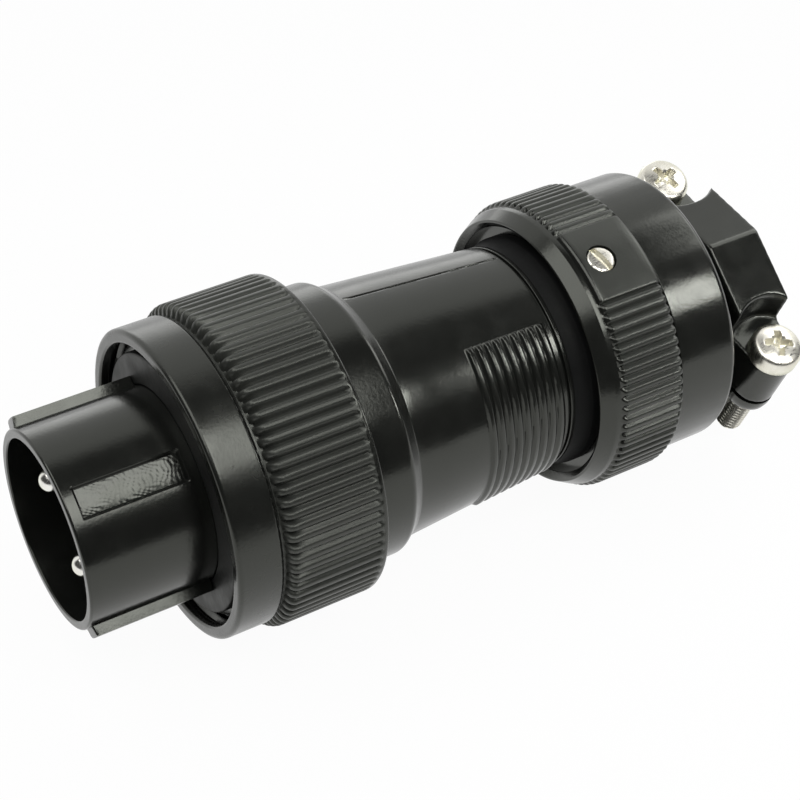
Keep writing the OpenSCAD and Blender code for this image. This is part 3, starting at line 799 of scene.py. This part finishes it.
def clamp_screw_surface(along, turn):
    """Pan-head screw: a domed top with a cross recess, whose depth is a smooth step across the arms,
    over a post with a helical thread, the shank radius less a triangle wave of z / pitch - angle / turn."""
    shank_r = 1.5
    pitch = 0.5
    thread_depth = 0.26
    tip = -12.0
    head_r = 2.85
    face_r = 2.4
    seat = 2.5
    half = np.array([0.1, 0.13, 0.165, 0.2, 0.62, 0.66, 0.72])
    marks = np.concatenate([-half, half])
    x, y, a, b = spot_grid(face_r, marks, marks)
    r2 = (x * x + y * y) / face_r ** 2
    dome = seat + 2.45 - 0.42 * r2
    arm_a = (1.0 - ramp(np.abs(b), 0.11, 0.19)) * (1.0 - ramp(np.abs(a), 0.5, 0.7))
    arm_b = (1.0 - ramp(np.abs(a), 0.11, 0.19)) * (1.0 - ramp(np.abs(b), 0.5, 0.7))
    pit = 1.0 - ramp(np.maximum(np.abs(a), np.abs(b)), 0.1, 0.32)
    depth = np.maximum(1.0 * np.maximum(arm_a, arm_b), 1.25 * pit)
    top = np.stack([x.ravel(), y.ravel(), (dome - depth).ravel()], axis=-1)
    lower = [(2.58, seat + 1.92), (2.72, seat + 1.73), (2.81, seat + 1.5), (head_r, seat + 1.25),
             (head_r, seat + 0.1), (2.78, seat), (shank_r, seat), (shank_r, -5.2)]
    for z in np.arange(-5.3, -11.6, -pitch / 8.0):
        lower.append((lambda t, z=z: shank_r - thread_depth * saw(z / pitch - t / (2.0 * math.pi)), z))
    lower += [(1.15, -11.8), (0.95, tip), (0.5, tip), (0.0, tip)]
    points, faces = post(top, x.shape, lower)
    return clamp_place(spun(points, turn), along), faces


def saw(t):
    """Triangle wave of t: 0 at whole numbers, 1 halfway."""
    part = np.asarray(t) % 1.0
    return 1.0 - np.abs(2.0 * part - 1.0)


def lock_screw_surface():
    """Slotted screw: a flat top with one slot, a smooth step across its width, over a plain post."""
    radius = 1.46
    top_r = 1.32
    tip = 11.62
    slot_depth = 0.55
    slot_turn = 106.0
    half = np.array([0.22, 0.28, 0.34])
    x, y, a, b = spot_grid(top_r, np.zeros(0), np.concatenate([-half, half]))
    slot = 1.0 - ramp(np.abs(b), 0.23, 0.33)
    height = 15.88 - slot_depth * slot - 0.05 * (a * a + b * b)
    top = np.stack([x.ravel(), y.ravel(), height.ravel()], axis=-1)
    lower = [(radius, 15.7), (radius, 12.1), (1.1, tip), (0.5, tip), (0.0, tip)]
    points, faces = post(top, x.shape, lower)
    u, v, up = spun(points, slot_turn).T
    at = math.radians(LOCK_ANGLE)
    placed = [LOCK_X - u, up * math.cos(at) - v * math.sin(at), up * math.sin(at) + v * math.cos(at)]
    return np.stack(placed, axis=-1), faces


def contact_surface(angle):
    """Contact turned around its own axis, which lies PIN_OFFSET from the plug's: dome, pin, collar and
    solder cup."""
    radius = 1.2
    tip = 1.1
    dome = np.radians(np.linspace(0.0, 90.0, 9))
    nose = np.stack([radius * np.sin(dome), tip + radius * (1.0 - np.cos(dome)), np.zeros(9)], axis=-1)
    rest = np.array([[radius, 19.6, 0.0], [2.0, 19.6, 0.0], [2.0, 21.0, 0.0], [1.6, 21.0, 0.0],
                     [1.6, 27.5, 0.0], [1.1, 27.5, 0.0], [1.1, 24.0, 0.0], [0.0, 24.0, 0.0]])
    points, faces = turned(np.concatenate([nose, rest]), angles(48), close_rows=False)
    at = math.radians(angle)
    points[:, 1] += PIN_OFFSET * math.cos(at)
    points[:, 2] += PIN_OFFSET * math.sin(at)
    return points, faces


def ring_surface(corners, count=160):
    """Plain turned ring with rounded corners."""
    return turned(soften([(*c, 0) for c in corners], 4), angles(count))


def drill(piece, angle, x, radius):
    """Cuts a round hole into a piece, square to the axis at an angle, with an exact boolean."""
    at = math.radians(angle)
    low, high = 10.5, 17.5
    profile = np.array([[0.0, low, 0.0], [radius, low, 0.0], [radius, high, 0.0], [0.0, high, 0.0]])
    points, faces = turned(profile, angles(64), close_rows=False)
    out = points[:, 0]
    moved = np.stack([x + points[:, 2], out * math.cos(at) - points[:, 1] * math.sin(at),
                      out * math.sin(at) + points[:, 1] * math.cos(at)], axis=-1)
    mesh = bpy.data.meshes.new("drill")
    mesh.from_pydata((moved * MM).tolist(), [], outward(moved, faces).tolist())
    merge_doubles(mesh)
    bit = bpy.data.objects.new("drill", mesh)
    bpy.context.scene.collection.objects.link(bit)
    cut = piece.modifiers.new("hole", "BOOLEAN")
    cut.object = bit
    cut.operation = "DIFFERENCE"
    cut.solver = "EXACT"
    bpy.context.view_layer.update()
    graph = bpy.context.evaluated_depsgraph_get()
    whole = bpy.data.meshes.new_from_object(piece.evaluated_get(graph))
    piece.modifiers.clear()
    old = piece.data
    whole.name = old.name
    piece.data = whole
    bpy.data.meshes.remove(old)
    bpy.data.objects.remove(bit)
    bpy.data.meshes.remove(mesh)
    whole.set_sharp_from_angle(angle=math.radians(SHARP_ANGLE))


def paint(node, material):
    """Gives a CAD node that keeps its own mesh a better material."""
    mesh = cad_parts[node].data
    mesh.materials.clear()
    mesh.materials.append(material)


class PLUG_OT_shell(bpy.types.Operator):
    """Builds the plug shell with its keys and recess"""

    bl_idname = "plug.shell"
    bl_label = "Plug shell"

    def execute(self, context):
        sizes = context.scene.plug_sizes
        make_piece("shell_skin", [shell_surface(sizes)], resin(), "plug", "plug_shell", 30.0)
        return {"FINISHED"}


class PLUG_OT_insert(bpy.types.Operator):
    """Builds the contacts and dresses the block that holds them"""

    bl_idname = "plug.insert"
    bl_label = "Contacts and insert"

    def execute(self, context):
        make_piece("contact_upper", [contact_surface(PIN_ANGLES[0])], silver(), "plug", "contact_pin_1",
                   weld=True)
        make_piece("contact_lower", [contact_surface(PIN_ANGLES[1])], silver(), "plug", "contact_pin_2",
                   weld=True)
        paint("pin_insulator", insulator_resin())
        paint("insert_back_plate", insulator_resin())
        paint("insert_ring", zinc())
        return {"FINISHED"}


class PLUG_OT_coupling_nut(bpy.types.Operator):
    """Builds the coupling nut with its flutes and inside thread"""

    bl_idname = "plug.coupling_nut"
    bl_label = "Coupling nut"

    def execute(self, context):
        sizes = context.scene.plug_sizes
        material = resin("nut resin", 0.0175, 0.0277, 0.2, 0.29)
        make_piece("coupling_nut_skin", [coupling_nut_surface(sizes)], material,
                   "coupling_nut", "coupling_nut")
        paint("thrust_washer", zinc())
        return {"FINISHED"}


class PLUG_OT_barrel(bpy.types.Operator):
    """Builds the barrel with its interrupted thread and parting line"""

    bl_idname = "plug.barrel"
    bl_label = "Barrel"

    def execute(self, context):
        sizes = context.scene.plug_sizes
        make_piece("barrel_skin", [barrel_surface(sizes)], resin(), "plug", "barrel")
        return {"FINISHED"}


class PLUG_OT_seals(bpy.types.Operator):
    """Builds the rubber rings and the gland"""

    bl_idname = "plug.seals"
    bl_label = "Seals"

    def execute(self, context):
        make_piece("face_gasket_skin", [ring_surface(
            [(10.33, 13.2, 0.15), (13.6, 13.2, 0.25), (13.6, 14.2, 0.1), (10.33, 14.2, 0.1)])],
            rubber(), "plug", "face_gasket")
        # The rear seal's rubber copy has a low specular level, 0.08 against the other seals' 0.4: painted
        # shade, so the seal reads as the dark gap between the barrel and the rear nut.
        make_piece("rear_seal_skin", [ring_surface(
            [(11.65, 53.2, 0.05), (12.1, 53.2, 0.1), (12.66, 55.1, 0.4), (12.66, 56.2, 0.1),
             (11.65, 56.2, 0.1)])],
            rubber("deep seal rubber", 0.08), "plug", "rear_seal_ring")
        make_piece("gland_skin", [ring_surface(
            [(5.6, 55.0, 0.3), (9.75, 55.0, 0.3), (9.75, 61.6, 0.4), (8.2, 64.5, 0.4), (5.6, 64.5, 0.3)])],
            rubber(), "plug", "cable_gland")
        paint("barrel_o_ring", rubber())
        paint("gland_washer", zinc())
        return {"FINISHED"}


class PLUG_OT_rear_nut(bpy.types.Operator):
    """Builds the rear nut, drills its screw hole and sets the lock screw"""

    bl_idname = "plug.rear_nut"
    bl_label = "Rear nut"

    def execute(self, context):
        sizes = context.scene.plug_sizes
        nut = make_piece("rear_nut_skin", [rear_nut_surface(sizes)], resin("rear nut resin", 0.0571, 0.065),
                         "plug", "rear_nut")
        drill(nut, LOCK_ANGLE, LOCK_X, 1.6)
        make_piece("lock_screw_skin", [lock_screw_surface()], nickel(), "plug", "lock_screw",
                   weld=True)
        return {"FINISHED"}


class PLUG_OT_end_cap(bpy.types.Operator):
    """Rounds the edges of the end cap and its fixed clamp half"""

    bl_idname = "plug.end_cap"
    bl_label = "End cap"

    def execute(self, context):
        rounded_copy("end_cap_skin", "end_cap", resin(), "plug", 0.22)
        return {"FINISHED"}


class PLUG_OT_clamp(bpy.types.Operator):
    """Rounds the clamp saddle and builds its two screws"""

    bl_idname = "plug.clamp"
    bl_label = "Cable clamp"

    def execute(self, context):
        worn_copy("clamp_saddle_skin", "clamp_saddle", resin(), "clamp_saddle", 0.15, 22)
        make_piece("clamp_screw_far", [clamp_screw_surface(CLAMP_REACH, 20.0)], nickel(), "clamp_saddle",
                   "clamp_screw_1", weld=True)
        make_piece("clamp_screw_near", [clamp_screw_surface(-CLAMP_REACH, 65.0)], nickel(), "clamp_saddle",
                   "clamp_screw_2", weld=True)
        return {"FINISHED"}


class PLUG_OT_stage(bpy.types.Operator):
    """Sets the pale floor, the soft lamps, the world and the camera"""

    bl_idname = "plug.stage"
    bl_label = "Stage"

    def execute(self, context):
        make_floor()
        make_world()
        for settings in LAMPS:
            lamp(*settings)
        make_camera()
        return {"FINISHED"}


def make_floor():
    """Pale floor just under the plug, ending in front of it: the camera and mirrors see it nearly white
    with a faint shadow."""
    low = CAD_BOX[0][2] - FLOOR_DROP
    far = FLOOR_REACH
    mesh = bpy.data.meshes.new("floor")
    mesh.from_pydata([(-far, FLOOR_NEAR, low), (far, FLOOR_NEAR, low), (far, far, low), (-far, far, low)],
                     [], [(0, 1, 2, 3)])
    floor = bpy.data.objects.new("floor", mesh)
    bpy.context.scene.collection.objects.link(floor)
    material = bpy.data.materials.new("pale floor")
    material.use_nodes = True
    nodes = material.node_tree.nodes
    links = material.node_tree.links
    nodes.clear()
    out = nodes.new("ShaderNodeOutputMaterial")
    matte = nodes.new("ShaderNodeBsdfDiffuse")
    matte.inputs["Color"].default_value = (*colour("floor"), 1.0)
    white = nodes.new("ShaderNodeEmission")
    white.inputs["Strength"].default_value = 1.0
    path = nodes.new("ShaderNodeLightPath").outputs
    mirrored = calculate(nodes, links, "MAXIMUM", path["Is Glossy Ray"], path["Is Transmission Ray"])
    seen = calculate(nodes, links, "MAXIMUM", path["Is Camera Ray"], mirrored)
    mixed = nodes.new("ShaderNodeMixShader")
    links.new(calculate(nodes, links, "MULTIPLY", seen, FLOOR_WHITE), mixed.inputs["Fac"])
    links.new(matte.outputs[0], mixed.inputs[1])
    links.new(white.outputs[0], mixed.inputs[2])
    links.new(mixed.outputs[0], out.inputs["Surface"])
    mesh.materials.append(material)


def make_world():
    """Pale studio wall behind the plug and a bright patch on it, in a dark room: the strength of each is
    a smooth step of the direction along the wall line."""
    world = bpy.data.worlds.new("studio")
    bpy.context.scene.world = world
    world.use_nodes = True
    nodes = world.node_tree.nodes
    links = world.node_tree.links
    nodes.clear()
    out = nodes.new("ShaderNodeOutputWorld")
    wall = nodes.new("ShaderNodeBackground")
    wall.inputs["Color"].default_value = (1.0, 1.0, 1.0, 1.0)
    direction = nodes.new("ShaderNodeTexCoord").outputs["Generated"]
    along = nodes.new("ShaderNodeVectorMath")
    along.operation = "DOT_PRODUCT"
    along.inputs[1].default_value = WALL_LINE
    links.new(direction, along.inputs[0])
    strength = nodes.new("ShaderNodeLightPath").outputs["Is Camera Ray"]
    for low, high, bright in WALLS:
        fall = nodes.new("ShaderNodeMapRange")
        fall.interpolation_type = "SMOOTHSTEP"
        fall.inputs["From Min"].default_value = low
        fall.inputs["From Max"].default_value = high
        fall.inputs["To Min"].default_value = ROOM_STRENGTH
        fall.inputs["To Max"].default_value = bright
        links.new(along.outputs["Value"], fall.inputs["Value"])
        strength = calculate(nodes, links, "MAXIMUM", strength, fall.outputs["Result"])
    links.new(strength, wall.inputs["Strength"])
    links.new(wall.outputs[0], out.inputs["Surface"])


def lamp(name, place, target, width, height, power):
    """Soft rectangular lamp aimed at a target."""
    data = bpy.data.lights.new(name, "AREA")
    data.shape = "RECTANGLE"
    data.size = width
    data.size_y = height
    data.energy = power
    light = bpy.data.objects.new(name, data)
    light.location = place
    light.rotation_euler = (Vector(target) - Vector(place)).to_track_quat("-Z", "Y").to_euler()
    bpy.context.scene.collection.objects.link(light)


def make_camera():
    """Camera at the photograph's viewing angle."""
    data = bpy.data.cameras.new("camera")
    data.lens = CAMERA_LENS
    data.sensor_width = CAMERA_SENSOR
    data.clip_start = 0.005
    camera = bpy.data.objects.new("camera", data)
    camera.location = CAMERA_PLACE
    aim = Vector(CAMERA_TARGET) - Vector(CAMERA_PLACE)
    camera.rotation_euler = aim.to_track_quat("-Z", "Y").to_euler()
    bpy.context.scene.collection.objects.link(camera)
    bpy.context.scene.camera = camera
    bpy.context.scene.view_settings.view_transform = "Standard"


OPERATORS = (PLUG_OT_shell, PLUG_OT_insert, PLUG_OT_coupling_nut, PLUG_OT_barrel, PLUG_OT_seals,
             PLUG_OT_rear_nut, PLUG_OT_end_cap, PLUG_OT_clamp, PLUG_OT_stage)


class PLUG_PT_panel(bpy.types.Panel):
    """Lists the plug's pieces with its sizes and colours"""

    bl_idname = "PLUG_PT_panel"
    bl_label = "Cable plug"
    bl_space_type = "VIEW_3D"
    bl_region_type = "UI"
    bl_category = "Cable plug"

    def draw(self, context):
        for operator in OPERATORS:
            self.layout.operator(operator.bl_idname)
        for group in (context.scene.plug_sizes, context.scene.plug_colours):
            for name in group.__annotations__:
                self.layout.prop(group, name)


CLASSES = (PlugSizes, PlugColours) + OPERATORS + (PLUG_PT_panel,)


def register():
    for item in CLASSES:
        bpy.utils.register_class(item)
    bpy.types.Scene.plug_sizes = bpy.props.PointerProperty(type=PlugSizes)
    bpy.types.Scene.plug_colours = bpy.props.PointerProperty(type=PlugColours)


def unregister():
    del bpy.types.Scene.plug_colours
    del bpy.types.Scene.plug_sizes
    for item in reversed(CLASSES):
        bpy.utils.unregister_class(item)


def main():
    register()
    bpy.ops.plug.shell()
    bpy.ops.plug.insert()
    bpy.ops.plug.coupling_nut()
    bpy.ops.plug.barrel()
    bpy.ops.plug.seals()
    bpy.ops.plug.rear_nut()
    bpy.ops.plug.end_cap()
    bpy.ops.plug.clamp()
    bpy.ops.plug.stage()


if __name__ == "__main__":
    main()
